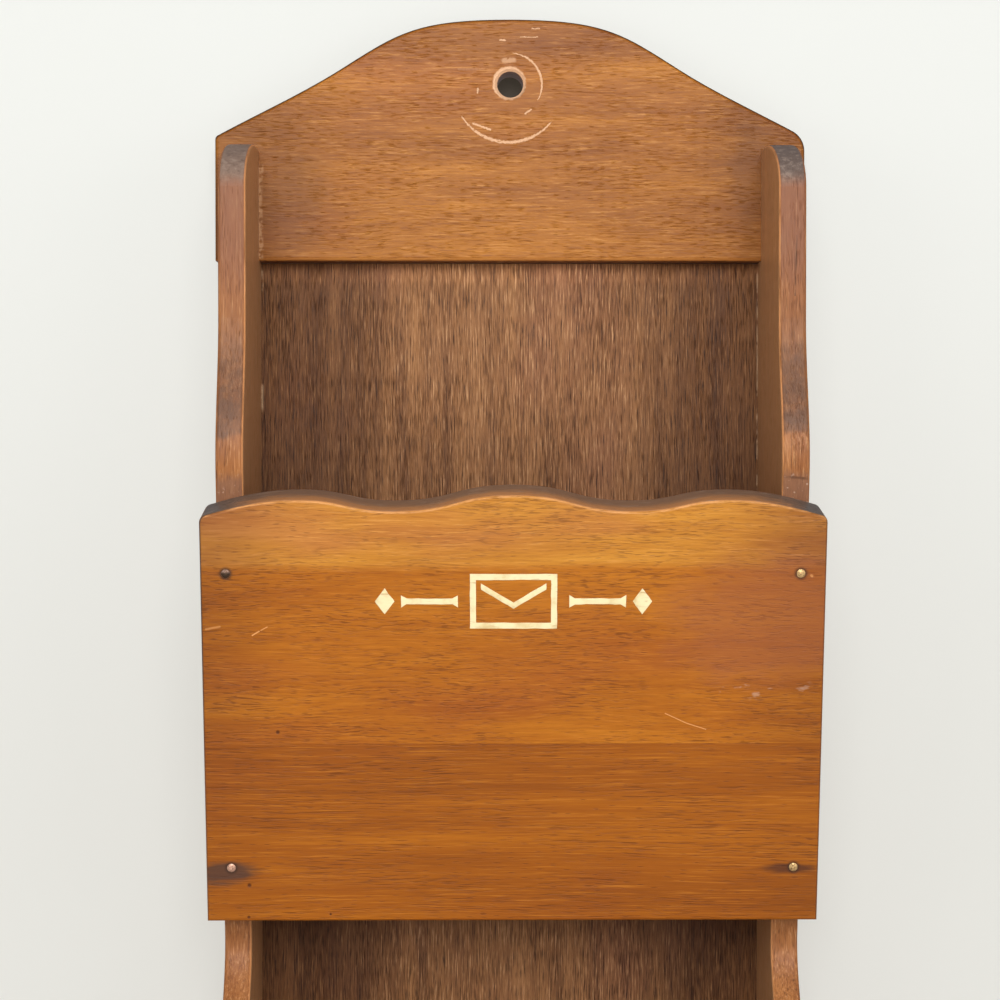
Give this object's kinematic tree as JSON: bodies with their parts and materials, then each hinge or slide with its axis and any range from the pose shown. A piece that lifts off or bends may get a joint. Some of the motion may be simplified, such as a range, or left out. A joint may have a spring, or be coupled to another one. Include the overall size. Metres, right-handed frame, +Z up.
{
  "type": "wall mail organizer",
  "caption": "Stained wood wall letter holder with an arched top board, a hang hole, shaped sides, a plywood back and open pockets behind leaning fronts with wavy top edges.",
  "frame": {"origin": "centre of the hang hole, on the wall plane at the back of the top board", "axes": "+Z up the wall, +X to the viewer's right, +Y into the wall: the front faces -Y"},
  "size_m": [0.169, 0.076, 0.4244],
  "materials": {
    "top_board_wood": "medium brown stain under worn satin varnish, grain across",
    "side_wood": "medium brown stain under worn satin varnish, grain upright, pale worn edges",
    "front_wood": "amber brown stain under satin varnish, grain across",
    "floor_wood": "thin brown stain, grain across",
    "plywood": "dark brown stained open-pored plywood, grain upright",
    "brass_brad": "dull aged copper-brass",
    "steel_nail": "dull bright steel",
    "cream_paint": "thin cream-gold painted ornament, slightly worn"
  },
  "bodies": {
    "root": {"top_board": "top_board_wood", "left_side": "side_wood", "right_side": "side_wood", "back_panel": "plywood", "upper_front_top_stave": "front_wood", "upper_front_bottom_stave": "front_wood", "lower_front_top_stave": "front_wood", "lower_front_bottom_stave": "front_wood", "upper_pocket_floor": "floor_wood", "lower_pocket_floor": "floor_wood", "upper_front_brads": "brass_brad", "lower_front_brads": "brass_brad", "upper_floor_brads": "steel_nail", "lower_floor_brads": "steel_nail", "top_board_nails": "steel_nail", "back_panel_tacks": "steel_nail"}
  },
  "joints": []
}
